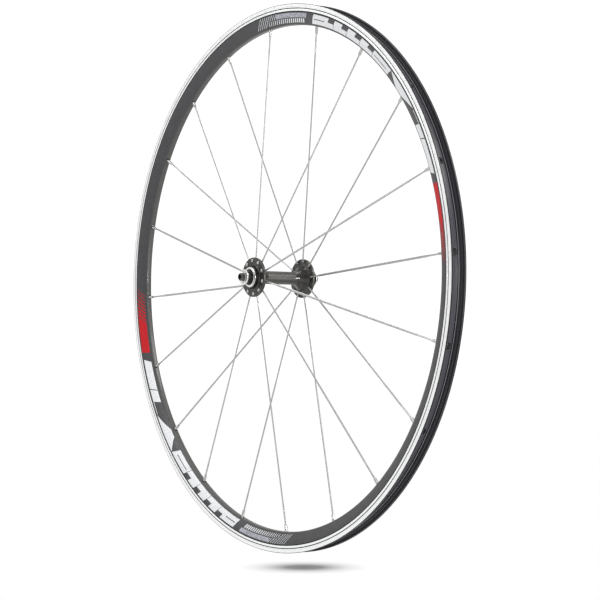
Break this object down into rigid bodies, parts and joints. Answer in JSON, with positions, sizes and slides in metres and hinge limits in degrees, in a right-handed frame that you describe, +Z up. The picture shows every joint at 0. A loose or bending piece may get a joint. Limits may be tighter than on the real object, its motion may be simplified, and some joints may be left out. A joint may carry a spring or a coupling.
{
  "type": "bicycle front wheel",
  "caption": "Road-bicycle front wheel without tyre: shallow double-wall clincher rim with machined brake tracks, radial bladed spokes and a slim quick-release hub.",
  "frame": {"origin": "centre of the wheel, on the axle's centreline and in the rim's middle plane", "axes": "+Y along the axle from the near side to the far side, +Z up; the valve hole is near -Z"},
  "size_m": [0.633, 0.109, 0.633],
  "materials": {
    "rim": "black anodised, satin",
    "spoke": "drawn steel",
    "nipple": "satin",
    "shell": "black anodised",
    "axle": "blackened",
    "spacer": "black anodised",
    "polished": "bright",
    "bearing_steel": "ground",
    "seal": "matt"
  },
  "bodies": {
    "axle": {"axle": "axle", "locknut_left": "polished", "spacer_left": "spacer", "bearing_inner_race_left": "bearing_steel", "locknut_right": "polished", "spacer_right": "spacer", "bearing_inner_race_right": "bearing_steel"},
    "wheel": {"rim": "rim", "hub_shell": "shell", "spoke_01": "spoke", "nipple_01": "nipple", "spoke_02": "spoke", "nipple_02": "nipple", "spoke_03": "spoke", "nipple_03": "nipple", "spoke_04": "spoke", "nipple_04": "nipple", "spoke_05": "spoke", "nipple_05": "nipple", "spoke_06": "spoke", "nipple_06": "nipple", "spoke_07": "spoke", "nipple_07": "nipple", "spoke_08": "spoke", "nipple_08": "nipple", "spoke_09": "spoke", "nipple_09": "nipple", "spoke_10": "spoke", "nipple_10": "nipple", "spoke_11": "spoke", "nipple_11": "nipple", "spoke_12": "spoke", "nipple_12": "nipple", "spoke_13": "spoke", "nipple_13": "nipple", "spoke_14": "spoke", "nipple_14": "nipple", "spoke_15": "spoke", "nipple_15": "nipple", "spoke_16": "spoke", "nipple_16": "nipple", "spoke_17": "spoke", "nipple_17": "nipple", "spoke_18": "spoke", "nipple_18": "nipple", "spoke_19": "spoke", "nipple_19": "nipple", "spoke_20": "spoke", "nipple_20": "nipple", "bearing_outer_race_left": "bearing_steel", "bearing_outer_seal_left": "seal", "bearing_inner_seal_left": "seal", "dust_cap_left": "polished", "bearing_outer_race_right": "bearing_steel", "bearing_outer_seal_right": "seal", "bearing_inner_seal_right": "seal", "dust_cap_right": "polished"},
    "ball_set_left": {"bearing_ball_set_left": "bearing_steel"},
    "ball_set_right": {"bearing_ball_set_right": "bearing_steel"}
  },
  "joints": [
    {"name": "wheel_spin", "type": "hinge", "parent": "axle", "child": "wheel", "pos_m": [0, 0, 0], "axis": [0, 1, 0], "continuous": true},
    {"name": "ball_set_left_orbit", "type": "hinge", "parent": "axle", "child": "ball_set_left", "pos_m": [0, -0.0354, 0], "axis": [0, 1, 0], "continuous": true},
    {"name": "ball_set_right_orbit", "type": "hinge", "parent": "axle", "child": "ball_set_right", "pos_m": [0, 0.0354, 0], "axis": [0, 1, 0], "continuous": true}
  ],
  "couplings": [
    {"joint": "ball_set_left_orbit", "follows": "wheel_spin", "ratio": 0.59375},
    {"joint": "ball_set_right_orbit", "follows": "wheel_spin", "ratio": 0.59375}
  ]
}
